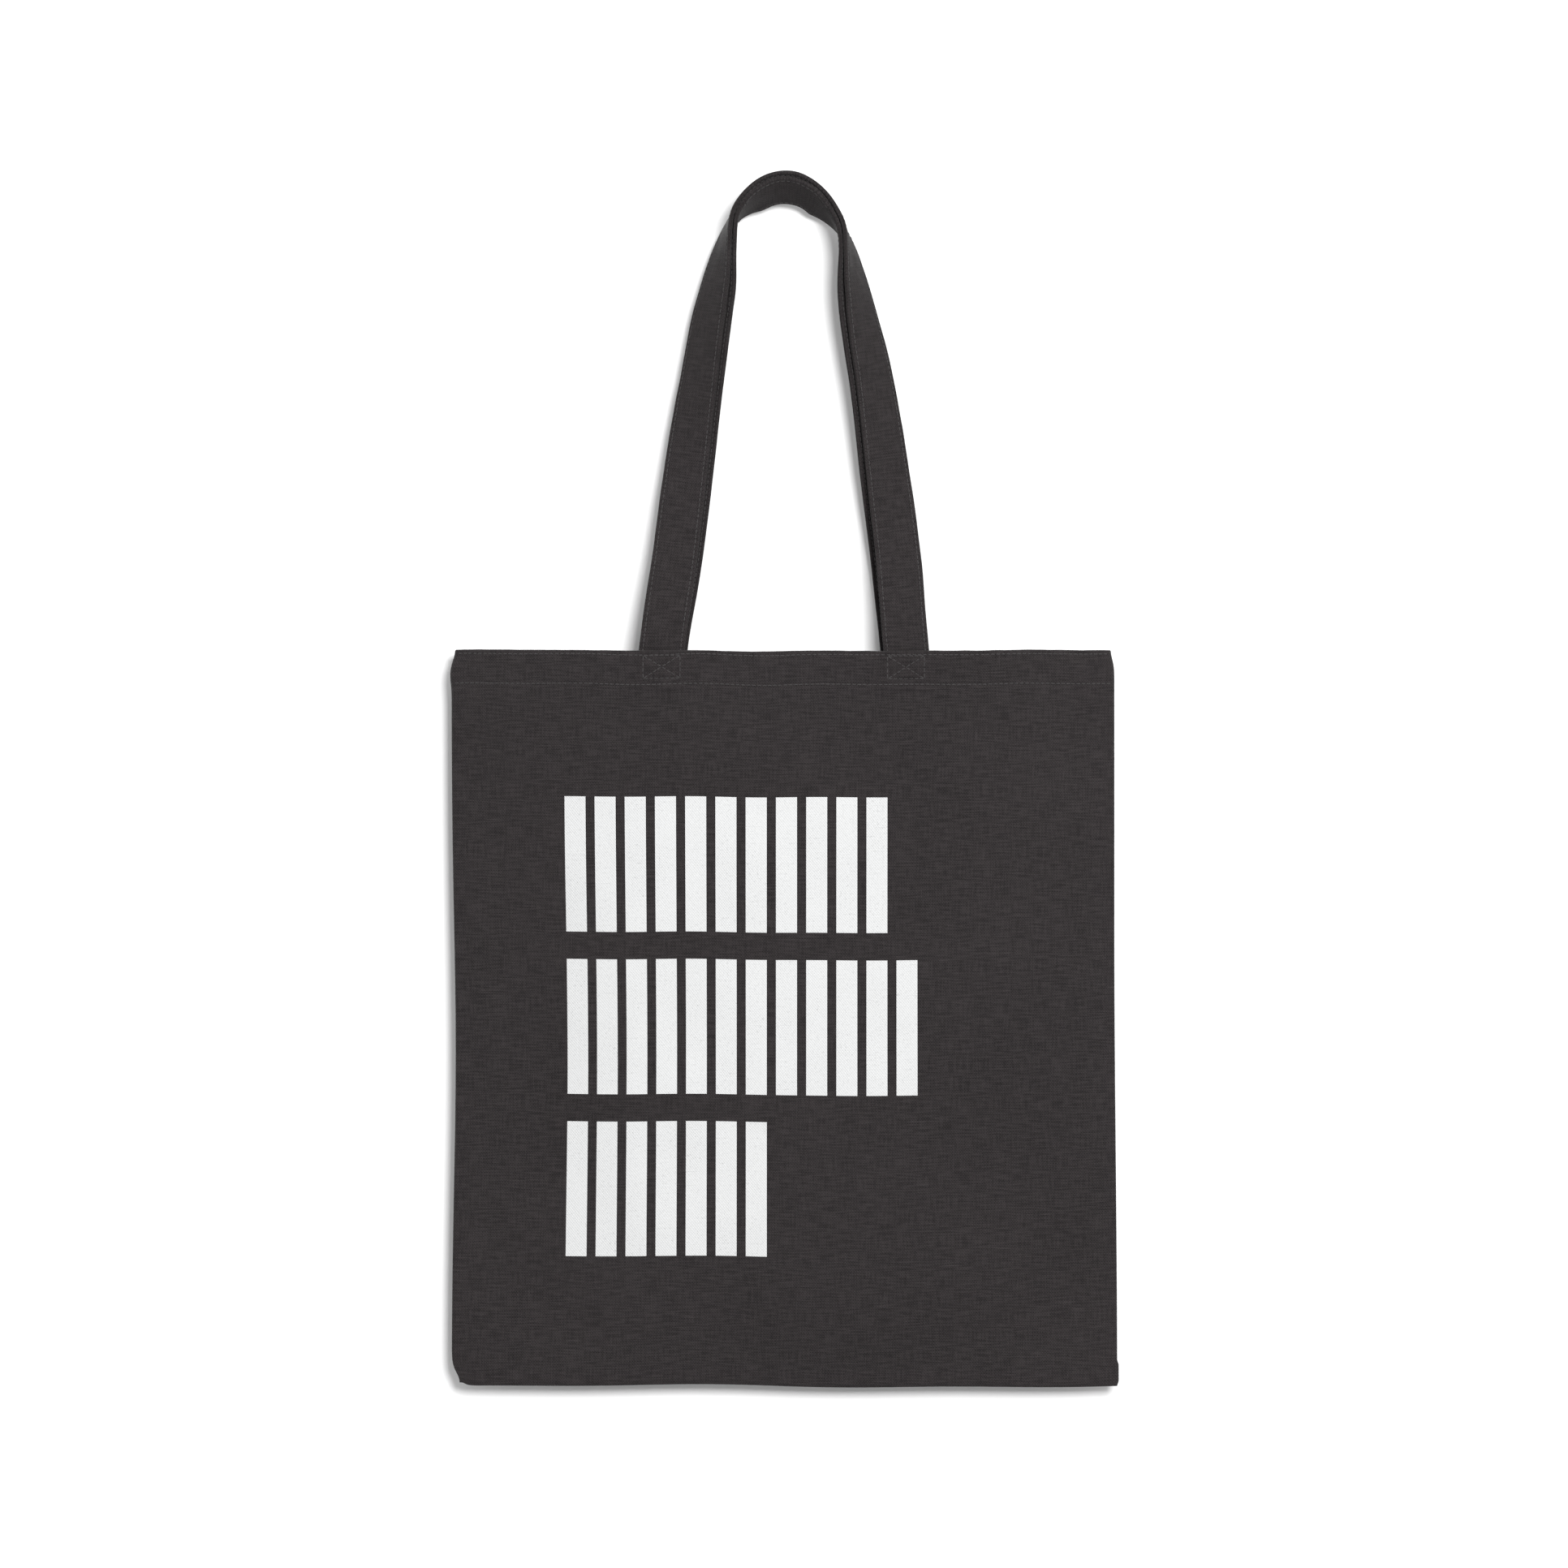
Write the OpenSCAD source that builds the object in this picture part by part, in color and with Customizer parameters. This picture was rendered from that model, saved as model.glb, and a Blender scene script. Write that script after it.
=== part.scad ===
// A flat canvas tote bag with two long shoulder handles, hanging by its handles.
// X runs across the bag, Y from front to back, Z up. The origin is the spot under the
// handles where a hook carries them.

/* [Bag] */
// Width of the bag, from seam to seam
bag_w = 380; // [300:5:460]
// Height of the bag, from the bottom seam to the rim
bag_h = 420; // [340:5:510]
// Thickness of one layer of canvas
canvas_t = 0.7; // [0.5:0.05:0.9]
// Opening between the two panels at the middle of the mouth
mouth_gap = 34; // [20:1:60]
// Depth of the hem turned in round the rim
hem_h = 21; // [18:1:40]
// Width of the seam allowances inside
seam_w = 12; // [6:1:16]

/* [Handles] */
// Width of a handle strap
strap_w = 26; // [20:1:40]
// Layers of canvas folded into a strap
strap_layers = 4; // [2:1:5]
// Distance between the two legs of a handle, centre to centre
leg_spacing = 139; // [110:1:180]
// Height of the handles above the rim
arch_h = 274; // [180:1:330]
// Distance that each leg leans in on the way up
leg_lean = 18.5; // [10:0.5:30]
// Half width of the arch's round top
arch_half_w = 41; // [28:1:50]
// Turn of a strap's face along its leg, in degrees
leg_twist = 45; // [30:1:75]
// Tilt of the straps on the hook, front edge up, in degrees
hook_tilt = 27; // [0:1:35]

/* [Stitching] */
// Width of a sewing thread as it lies on the cloth
thread_w = 0.6; // [0.4:0.1:0.8]
// Height that a thread stands proud of the cloth
thread_t = 0.35; // [0.2:0.05:0.4]
// Distance of the hem stitching below the rim
hem_row = 19; // [15:0.5:38]
// Distance of the rim stitching below the rim
rim_row = 2.2; // [1.5:0.1:3]
// Distance of the strap stitching from the strap's edges
strap_row = 2.3; // [1.5:0.1:4]
// Width of the box stitching on a strap end
box_w = 21; // [14:1:36]
// Height of the box stitching on a strap end
box_h = 13; // [8:1:30]

/* [Print] */
// Height of one row of printed bars
bar_h = 77; // [40:1:90]
// Width of one printed bar
bar_w = 12; // [6:1:20]
// Space between two bars
bar_gap = 5.2; // [3:0.2:10]
// Distance from one row of bars to the next
row_pitch = 92.6; // [60:0.2:110]
// Distance from the rim to the first row
print_drop = 83; // [40:1:100]
// Distance from the bag's left edge to the print
print_inset = 65; // [30:1:80]

/* [Hidden] */

canvas = "#3a3636";
canvas_thread = "#5a5656";
ink = "#eeeeee";

// Bars in each printed row, top row first
row_bars = [11, 12, 7];
// Space between two pieces that lie against each other
play = 0.1;
// Half of the space between the two allowances of a seam
seam_play = 0.2;
half_w = bag_w / 2;
half_mouth = mouth_gap / 2;
strap_t = strap_layers * canvas_t;
hem_t = 2 * canvas_t;
leg_x = leg_spacing / 2;
// Space at the hinge line between a strap and its sewn end
end_gap = 0.3;
// Depth of the sewn ends below the rim
end_drop = hem_h + 0.5;
// Distance from the rim down to the box stitching
box_drop = 2.8;
// Width and half thickness of the thread wound over the raw edges of the allowances
overlock_w = 1.2;
overlock_half = 0.6;

// Half of the space between the panels at a side seam: one allowance, or three layers in the hem
seam_half = canvas_t + seam_play;
hem_half = hem_t + canvas_t + seam_play;
mouth_flatness = 5;
belly_power = 0.8;

function smooth(t) = let (c = min(1, max(0, t))) c * c * (3 - 2 * c);
function mix(a, b, t) = a + (b - a) * t;

// Height at which the sides start to widen for the hem
flare_z = bag_h - 3 * hem_h;
function side_half(z) = mix(seam_half, hem_half, smooth((z - flare_z) / (2 * hem_h)));
function belly(x, z) = (1 - pow(min(1, abs(x) / half_w), mouth_flatness)) * pow(max(0, z) / bag_h, belly_power);
// Distance from the middle plane to the inner face of a panel's single layer
function inner(x, z) = side_half(z) + (half_mouth - hem_half) * belly(x, z);
function outer(x, z) = inner(x, z) + canvas_t;
// Layers turned in along the rim and along the seams
function turned_in(x, z) =
    (z >= bag_h - hem_h ? hem_t : 0)
    + (abs(x) >= half_w - seam_w || z <= seam_w ? canvas_t : 0);

// Place of a strap against the hem, and of the hinge line at the rim
rim_y = inner(leg_x, bag_h);
strap_y = rim_y - hem_t - play - strap_t / 2;

// Even steps from a to b, both ends included
function steps(a, b, n) = [for (i = [0:n]) a + (b - a) * i / n];
tiny = 0.01;
// Grid of a panel, with close pairs of lines where a turned-in layer starts
x_grid = concat(
    [-half_w, -half_w + seam_w, -half_w + seam_w + tiny],
    steps(-half_w + 2 * seam_w, half_w - 2 * seam_w, 16),
    [half_w - seam_w - tiny, half_w - seam_w, half_w]);
z_grid = concat(
    [0, seam_w, seam_w + tiny],
    steps(2 * seam_w, flare_z, 7),
    [flare_z + hem_h, bag_h - hem_h - tiny, bag_h - hem_h, bag_h - hem_h / 2, bag_h]);

// Two triangles for each corner quad a, b, c, d
function quad(a, b, c, d) = [[a, b, c], [a, c, d]];
function flat_list(lists) = [for (l = lists) for (v = l) v];

// A closed sheet between the surfaces y = front(x, z) and y = back(x, z)
module sheet(xs, zs, front, back) {
    nx = len(xs);
    nz = len(zs);
    n = nx * nz;
    points = concat(
        [for (z = zs) for (x = xs) [x, front(x, z), z]],
        [for (z = zs) for (x = xs) [x, back(x, z), z]]);
    front_faces = [for (j = [0:nz - 2]) for (i = [0:nx - 2])
        let (a = j * nx + i) quad(a, a + nx, a + nx + 1, a + 1)];
    back_faces = [for (j = [0:nz - 2]) for (i = [0:nx - 2])
        let (a = n + j * nx + i) quad(a, a + 1, a + nx + 1, a + nx)];
    low_edge = [for (i = [0:nx - 2]) quad(i, i + 1, n + i + 1, n + i)];
    top = (nz - 1) * nx;
    top_edge = [for (i = [0:nx - 2]) quad(top + i, n + top + i, n + top + i + 1, top + i + 1)];
    left_edge = [for (j = [0:nz - 2]) let (a = j * nx) quad(a, n + a, n + a + nx, a + nx)];
    right_edge = [for (j = [0:nz - 2]) let (a = j * nx + nx - 1) quad(a, a + nx, n + a + nx, n + a)];
    polyhedron(points, flat_list(concat(front_faces, back_faces, low_edge, top_edge, left_edge, right_edge)));
}

// A solid swept through a list of sections. Each section is a loop of points: the row along its lower
// face, then the same number of points back along its upper face
module sweep(sections) {
    m = len(sections[0]);
    last = m * (len(sections) - 1);
    sides = [for (i = [0:len(sections) - 2]) for (k = [0:m - 1])
        let (a = m * i + k, b = m * i + (k + 1) % m) quad(a, a + m, b + m, b)];
    start_cap = [for (k = [0:m / 2 - 2]) quad(k, k + 1, m - 2 - k, m - 1 - k)];
    end_cap = [for (k = [0:m / 2 - 2]) quad(last + m - 1 - k, last + m - 2 - k, last + k + 1, last + k)];
    polyhedron(flat_list(sections), flat_list(concat(sides, start_cap, end_cap)));
}

// Puts the bag, drawn up from its bottom seam, under the hook
module hung() {
    translate([0, 0, -hook_z]) children();
}

// One panel with its hem and allowances, drawn as the front one
module panel() {
    sheet(x_grid, z_grid,
        function (x, z) -outer(x, z),
        function (x, z) -(inner(x, z) - turned_in(x, z)));
}

// The grid's x values from a to b, so that a thread bends where the panel does
function grid_between(a, b) = concat([a], [for (x = x_grid) if (x > a + 1 && x < b - 1) x], [b]);

// A row of thread across the front panel, on its outer face and on the inner face of its hem
module rim_thread(drop) {
    z = bag_h - drop;
    zs = [z - thread_w / 2, z + thread_w / 2];
    sheet(grid_between(-half_w + 1, half_w - 1), zs,
        function (x, z) -(outer(x, z) + play + thread_t),
        function (x, z) -(outer(x, z) + play));
    // Inside, the row stops at the allowances and on both sides of each strap end
    last_x = half_w - seam_w - 1;
    past_leg = leg_x + strap_w / 2 + 1;
    before_leg = leg_x - strap_w / 2 - 1;
    for (span = [[-last_x, -past_leg], [-before_leg, before_leg], [past_leg, last_x]])
        sheet(grid_between(span[0], span[1]), zs,
            function (x, z) -(inner(x, z) - hem_t - play),
            function (x, z) -(inner(x, z) - hem_t - play - thread_t));
}

// The sewn end of a strap inside the front hem, on the side of sign
module handle_end(sign) {
    sheet([for (k = [-1:1]) sign * leg_x + k * strap_w / 2],
        steps(bag_h - end_drop, bag_h - end_gap, 3),
        function (x, z) -(inner(x, z) - hem_t - play),
        function (x, z) -(inner(x, z) - hem_t - play - strap_t));
}

// A thread between the points [x, z] from and to, stopping short of both, at the depth y(x, z),
// and growing by grow in Y
module cross_thread(from, to, depth, grow) {
    along = (to - from) / norm(to - from);
    side = [-along[1], along[0]] * thread_w / 2 * sign(grow);
    start = from + along * thread_w;
    end = to - along * thread_w;
    section = function (p) let (a = p - side, b = p + side) [
        [a[0], depth(a[0], a[1]), a[1]],
        [b[0], depth(b[0], b[1]), b[1]],
        [b[0], depth(b[0], b[1]) + grow, b[1]],
        [a[0], depth(a[0], a[1]) + grow, a[1]]];
    sweep([section(start), section((start + end) / 2), section(end)]);
}

// The box with a cross that sews a strap end to the front panel, seen on both faces
module box_thread(sign) {
    low = bag_h - box_drop - box_h;
    // The four corners, then the middle, where one diagonal stops for the other to cross
    spots = [for (c = [[-1, 0], [1, 0], [1, 1], [-1, 1], [0, 0.5]])
        [sign * leg_x + c[0] * box_w / 2, low + c[1] * box_h]];
    lines = [[0, 1], [1, 2], [2, 3], [3, 0], [0, 2], [1, 4], [4, 3]];
    outside = function (x, z) -(outer(x, z) + play);
    inside = function (x, z) -(inner(x, z) - hem_t - 2 * play - strap_t);
    for (line = lines) {
        cross_thread(spots[line[0]], spots[line[1]], outside, -thread_t);
        cross_thread(spots[line[0]], spots[line[1]], inside, thread_t);
    }
}

// The row that joins the two panels along a side, between the allowances
module side_seam(sign) {
    x = sign * (half_w - 1);
    sheet([x - thread_w / 2, x + thread_w / 2], [1, bag_h - 1],
        function (x, z) -seam_play / 2,
        function (x, z) seam_play / 2);
}

module bottom_seam() {
    sheet(steps(-half_w + 3, half_w - 3, 8), [1 - thread_w / 2, 1 + thread_w / 2],
        function (x, z) -seam_play / 2,
        function (x, z) seam_play / 2);
}

// Thread over the raw edges of the allowances
module side_overlock(sign) {
    x = sign * (half_w - seam_w - play - overlock_w / 2);
    translate([x - overlock_w / 2, -overlock_half, seam_w + 2])
        cube([overlock_w, 2 * overlock_half, bag_h - hem_h - seam_w - 4]);
}

module bottom_overlock() {
    length = bag_w - 2 * seam_w - 8;
    translate([-length / 2, -overlock_half, seam_w + play]) cube([length, 2 * overlock_half, overlock_w]);
}

// Steps along one leg of a handle, from the rim to the hook
half_steps = 36;
// Space between the two straps on the hook, with room for their stitching
hook_play = 1.2;
// Distance of a strap from the middle plane at the rim, and from the middle line on the hook
base_offset = strap_y;
hook_offset = (strap_t + hook_play) / 2;
// How fast the two straps come together above the rim
offset_decay = 14;

// The outer outline of the right leg, from the rim to the top of the arch: a cubic curve
outline_x = leg_x + strap_w / 2;
bend_z = 0.69 * arch_h;
outline_points = [[outline_x, 0], [outline_x - leg_lean, bend_z], [arch_half_w, arch_h], [0, arch_h]];
function outline_at(u) = let (v = 1 - u)
    v * v * v * outline_points[0] + 3 * v * v * u * outline_points[1]
    + 3 * v * u * u * outline_points[2] + u * u * u * outline_points[3];
function outline_slope(u) = let (v = 1 - u,
    d = v * v * (outline_points[1] - outline_points[0]) + 2 * v * u * (outline_points[2] - outline_points[1])
        + u * u * (outline_points[3] - outline_points[2])) d / norm(d);
// Direction into the loop: level at the rim and square to the outline from u = level_end on
level_end = 0.08;
function inward_at(u) = let (s = outline_slope(u),
    d = mix([-1, 0], [-s[1], s[0]], smooth(u / level_end))) d / norm(d);
// Turn of the strap's face from facing back at the rim to lying on the hook
function turn_at(u) = leg_twist * smooth(2 * u) + (90 + hook_tilt - leg_twist) * smooth(2 * u - 0.9);
// Distance of a strap from the middle line between the two
function offset_at(u) = mix(hook_offset, base_offset, pow(1 - u, offset_decay) * (1 + offset_decay * u));
// Distance from the outline to the middle of a strap whose face has turned. The softness keeps the
// middle line round where the strap is edge-on
edge_softness = 0.12;
function reach(turn) = strap_w / 2 * norm([cos(turn), edge_softness * sin(turn)]) + strap_t / 2 * sin(turn);
function middle_at(u) = let (t = turn_at(u),
    p = outline_at(u) + inward_at(u) * (reach(t) + offset_at(u) * sin(t))) [p[0], 0, bag_h + p[1]];
function width_dir(u) = let (l = inward_at(u), t = turn_at(u)) [l[0] * cos(t), -sin(t), l[1] * cos(t)];
function face_dir(u) = let (l = inward_at(u), t = turn_at(u)) [l[0] * sin(t), cos(t), l[1] * sin(t)];
// The hook lies against the lower strap, on the middle plane
hook_z = middle_at(1)[2] - (hook_offset + strap_t / 2) / cos(hook_tilt);

function backwards(list) = [for (i = [len(list) - 1:-1:0]) list[i]];
// Sections of a bar that runs with a strap. row gives its places across the strap, t its thickness, and
// out the distance of its middle from the strap's middle
function leg_sections(side, row, t, out) = [for (u = steps(0, 1, half_steps))
    let (c = middle_at(u) + face_dir(u) * (side * offset_at(u) + out),
        a = width_dir(u), b = face_dir(u) * t / 2)
    concat([for (w = row) c + a * w - b], [for (w = backwards(row)) c + a * w + b])];
function mirrored(section) = [for (p = section) [-p[0], p[1], p[2]]];
// The whole loop: up the right leg and down the left one
module strap_bar(side, row, t, out) {
    right = leg_sections(side, row, t, out);
    left = [for (i = [half_steps - 1:-1:0]) mirrored(right[i])];
    sweep(concat(right, left));
}

// Places across half a strap, close together under its stitching, so that a thread lies flat on it
thread_x = strap_w / 2 - strap_row;
half_row = [thread_x / 2, thread_x - thread_w, thread_x + thread_w, strap_w / 2];
module strap_loop(side) {
    strap_bar(side, concat(-backwards(half_row), [0], half_row), strap_t, 0);
}

// The stitching near one edge of a strap, on both of its faces
module strap_thread(side, edge) {
    middle = edge * thread_x;
    out = (strap_t + thread_t) / 2 + play / 2;
    for (face = [-1, 1])
        strap_bar(side, [middle - thread_w / 2, middle + thread_w / 2], thread_t, face * out);
}

module print_row(row) {
    top = bag_h - print_drop - row * row_pitch;
    for (i = [0:row_bars[row] - 1]) {
        left = -half_w + print_inset + i * (bar_w + bar_gap);
        sheet([left, left + bar_w], steps(top - bar_h, top, 4),
            function (x, z) -(outer(x, z) + 2 * play),
            function (x, z) -(outer(x, z) + play));
    }
}

module front_panel() { color(canvas) hung() panel(); }
module back_panel() { color(canvas) hung() mirror([0, 1, 0]) panel(); }
module front_left_handle_end() { color(canvas) hung() handle_end(-1); }
module front_right_handle_end() { color(canvas) hung() handle_end(1); }
module back_left_handle_end() { color(canvas) hung() mirror([0, 1, 0]) handle_end(-1); }
module back_right_handle_end() { color(canvas) hung() mirror([0, 1, 0]) handle_end(1); }
module front_handle_strap() { color(canvas) hung() strap_loop(-1); }
module back_handle_strap() { color(canvas) hung() strap_loop(1); }
module front_hem_stitching() { color(canvas_thread) hung() rim_thread(hem_row); }
module back_hem_stitching() { color(canvas_thread) hung() mirror([0, 1, 0]) rim_thread(hem_row); }
module front_rim_stitching() { color(canvas_thread) hung() rim_thread(rim_row); }
module back_rim_stitching() { color(canvas_thread) hung() mirror([0, 1, 0]) rim_thread(rim_row); }
module front_left_box_stitching() { color(canvas_thread) hung() box_thread(-1); }
module front_right_box_stitching() { color(canvas_thread) hung() box_thread(1); }
module back_left_box_stitching() { color(canvas_thread) hung() mirror([0, 1, 0]) box_thread(-1); }
module back_right_box_stitching() { color(canvas_thread) hung() mirror([0, 1, 0]) box_thread(1); }
module left_seam_stitching() { color(canvas_thread) hung() side_seam(-1); }
module right_seam_stitching() { color(canvas_thread) hung() side_seam(1); }
module bottom_seam_stitching() { color(canvas_thread) hung() bottom_seam(); }
module left_overlock_thread() { color(canvas_thread) hung() side_overlock(-1); }
module right_overlock_thread() { color(canvas_thread) hung() side_overlock(1); }
module bottom_overlock_thread() { color(canvas_thread) hung() bottom_overlock(); }
module front_handle_inner_stitching() { color(canvas_thread) hung() strap_thread(-1, 1); }
module front_handle_outer_stitching() { color(canvas_thread) hung() strap_thread(-1, -1); }
module back_handle_inner_stitching() { color(canvas_thread) hung() strap_thread(1, 1); }
module back_handle_outer_stitching() { color(canvas_thread) hung() strap_thread(1, -1); }
module front_print() { color(ink) hung() for (row = [0:len(row_bars) - 1]) print_row(row); }

front_panel();
back_panel();
front_left_handle_end();
front_right_handle_end();
back_left_handle_end();
back_right_handle_end();
front_handle_strap();
back_handle_strap();
front_hem_stitching();
back_hem_stitching();
front_rim_stitching();
back_rim_stitching();
front_left_box_stitching();
front_right_box_stitching();
back_left_box_stitching();
back_right_box_stitching();
left_seam_stitching();
right_seam_stitching();
bottom_seam_stitching();
left_overlock_thread();
right_overlock_thread();
bottom_overlock_thread();
front_handle_inner_stitching();
front_handle_outer_stitching();
back_handle_inner_stitching();
back_handle_outer_stitching();
front_print();
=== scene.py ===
"""A charcoal canvas tote bag with two shoulder handles and a white bar print, hanging by its handles."""

import math

import bpy
import numpy as np
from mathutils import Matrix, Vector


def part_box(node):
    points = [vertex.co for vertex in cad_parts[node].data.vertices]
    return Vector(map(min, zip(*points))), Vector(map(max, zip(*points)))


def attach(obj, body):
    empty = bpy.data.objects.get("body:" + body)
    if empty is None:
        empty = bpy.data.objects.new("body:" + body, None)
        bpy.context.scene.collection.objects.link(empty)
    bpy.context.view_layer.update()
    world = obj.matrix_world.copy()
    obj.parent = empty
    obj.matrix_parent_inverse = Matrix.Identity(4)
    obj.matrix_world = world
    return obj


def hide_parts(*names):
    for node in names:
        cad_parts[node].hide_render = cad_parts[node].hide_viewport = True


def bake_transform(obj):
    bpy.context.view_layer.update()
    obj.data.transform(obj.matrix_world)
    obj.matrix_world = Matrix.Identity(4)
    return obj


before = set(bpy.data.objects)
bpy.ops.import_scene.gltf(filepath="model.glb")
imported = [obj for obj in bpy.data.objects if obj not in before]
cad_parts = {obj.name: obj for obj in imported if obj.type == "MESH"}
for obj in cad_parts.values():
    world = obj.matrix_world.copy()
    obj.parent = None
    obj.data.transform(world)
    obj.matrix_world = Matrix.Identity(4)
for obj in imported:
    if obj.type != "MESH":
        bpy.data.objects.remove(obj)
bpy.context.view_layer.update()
MM = 0.001

# ---------------------------------------------------------------- sizes from the frame

panel_low, panel_high = (np.array(corner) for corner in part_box("front_panel"))
right_end_low, right_end_high = (np.array(corner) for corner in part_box("front_right_handle_end"))

HALF_W = panel_high[0]
RIM_Z = panel_high[2]
BOTTOM_Z = panel_low[2]
BAG_H = RIM_Z - BOTTOM_Z
LEG_X = (right_end_low[0] + right_end_high[0]) / 2
STRAP_W = right_end_high[0] - right_end_low[0]
END_DROP = RIM_Z - right_end_low[2]
MOUTH_HALF = -panel_low[1]

CANVAS_T = 0.7 * MM
HEM_H = 21 * MM
HEM_T = 2 * CANVAS_T
SEAM_W = 12 * MM
STRAP_T = 4 * CANVAS_T
SEAM_HALF = CANVAS_T + 0.2 * MM
HEM_HALF = HEM_T + SEAM_HALF
HOOK_TILT = math.radians(27)
LEG_TWIST = math.radians(45)
LEG_LEAN = 18.5 * MM
ARCH_HALF_W = 41 * MM
ARCH_H = 274 * MM
# Between the two straps, where they turn edge-on and over the peg
EDGE_PLAY = 0.3 * MM
PEG_PLAY = 1.1 * MM
STRAP_PLAY = 0.1 * MM

HEM_ROW = 19 * MM
RIM_ROW = 2.2 * MM
STRAP_ROW = 2.3 * MM
BOX_W = 21 * MM
BOX_H = 13 * MM
BOX_DROP = 2.8 * MM
STITCH_PITCH = 3 * MM
THREAD_R = 0.26 * MM

FRONT, BACK = -1, 1


def smooth(t):
    t = np.clip(t, 0, 1)
    return t * t * (3 - 2 * t)


def mix(a, b, t):
    return a + (b - a) * t


def unit(vectors):
    return vectors / np.linalg.norm(vectors, axis=-1, keepdims=True)


def waves(x, z, size, seed, count=7):
    """A smooth random field of about -1 to 1 whose bumps are about size across."""
    rng = np.random.default_rng(seed)
    total = np.zeros(np.broadcast(x, z).shape)
    for _ in range(count):
        angle = rng.uniform(0, 2 * math.pi)
        phase = rng.uniform(0, 2 * math.pi)
        pitch = size * rng.uniform(0.7, 1.6)
        total += np.sin(2 * math.pi * (x * math.cos(angle) + z * math.sin(angle)) / pitch + phase)
    return total / math.sqrt(count)


def new_mesh(name, points, faces, flat=None, smooth_faces=True):
    """A mesh object. flat holds each point's place on the flat cloth, for the weave."""
    mesh = bpy.data.meshes.new(name)
    mesh.from_pydata([tuple(p) for p in np.asarray(points)], [], [tuple(f) for f in faces])
    mesh.update()
    if smooth_faces:
        mesh.polygons.foreach_set("use_smooth", [True] * len(mesh.polygons))
    if flat is not None:
        attribute = mesh.attributes.new("flat", "FLOAT_VECTOR", "POINT")
        values = np.zeros((len(mesh.vertices), 3), np.float32)
        values[:, :2] = np.asarray(flat)[:, :2]
        attribute.data.foreach_set("vector", values.ravel())
    piece = bpy.data.objects.new(name, mesh)
    bpy.context.scene.collection.objects.link(piece)
    return piece


# ---------------------------------------------------------------- the cloth surface

def half_gap(x, z):
    """Distance from the middle plane to a panel's inner face, z above the bottom seam."""
    side = mix(SEAM_HALF, HEM_HALF, smooth((z - (BAG_H - 3 * HEM_H)) / (2 * HEM_H)))
    belly = (1 - np.minimum(1, np.abs(x) / HALF_W) ** 5) * (np.maximum(z, 0) / BAG_H) ** 0.8
    return side + (MOUTH_HALF - CANVAS_T - HEM_HALF) * belly


def round_edge(distance, radius):
    """From 0 at the edge to 1 a radius inside it, along a quarter circle."""
    t = np.clip(distance / radius, 0, 1)
    return np.sqrt(1 - (1 - t) ** 2)


def edge_steps(span, fine, coarse_step):
    """Values from 0 to span, close together near both ends."""
    ends = np.array(fine)
    middle = np.linspace(ends[-1], span - ends[-1], int((span - 2 * ends[-1]) / coarse_step) + 1)[1:-1]
    return np.concatenate([ends, middle, span - ends[::-1]])


EDGE_FINE = [v * MM for v in (0, 0.12, 0.35, 0.75, 1.3, 2.0, 3.0, 4.5)]
GRID_X = edge_steps(2 * HALF_W, EDGE_FINE, 2.2 * MM) - HALF_W
LOW_Z = edge_steps(BAG_H - 30 * MM, EDGE_FINE, 2.6 * MM)
GRID_Z = np.concatenate([
    LOW_Z[LOW_Z < BAG_H - 36 * MM],
    np.arange(BAG_H - 36 * MM, BAG_H - 1.2 * MM, 0.8 * MM),
    [BAG_H - 0.9 * MM],
])


STRAP_SWELL = 0.9 * MM
# The back handle's legs stand this much closer together, so they show inside the front one's
TUCK = 1.2 * MM


def strap_bump(x, z, leg_x):
    """How much the strap ends behind a panel push it out, from 0 to 1."""
    total = np.zeros(np.broadcast(x, z).shape)
    for sign in (-1, 1):
        across = smooth((STRAP_W / 2 + 1.6 * MM - np.abs(x - sign * leg_x)) / (2.6 * MM))
        total += across * smooth((z - (BAG_H - END_DROP - 2.4 * MM)) / (2.8 * MM))
    return total


def pucker(x, z, seed):
    """Small hollows and creases along the rows of stitches, in metres, outwards."""
    drop = BAG_H - z
    hem = np.exp(-((drop - HEM_ROW) / (1.1 * MM)) ** 2)
    rim = np.exp(-((drop - RIM_ROW) / (0.9 * MM)) ** 2)
    ripple = waves(x, z * 0.25, 9 * MM, seed) + 0.6 * waves(x, z * 0.3, 4 * MM, seed + 1)
    near_hem = np.exp(-((drop - HEM_ROW) / (7 * MM)) ** 2)
    near_rim = np.exp(-(drop / (5 * MM)) ** 2)
    side = HALF_W - np.abs(x)
    near_side = np.exp(-(side / (6 * MM)) ** 2) + np.exp(-(z / (6 * MM)) ** 2)
    along = waves(x * 0.4, z, 14 * MM, seed + 2)
    return (
        -0.30 * MM * hem - 0.16 * MM * rim
        + 0.10 * MM * ripple * (near_hem + near_rim)
        + 0.13 * MM * along * near_side
    )


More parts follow.
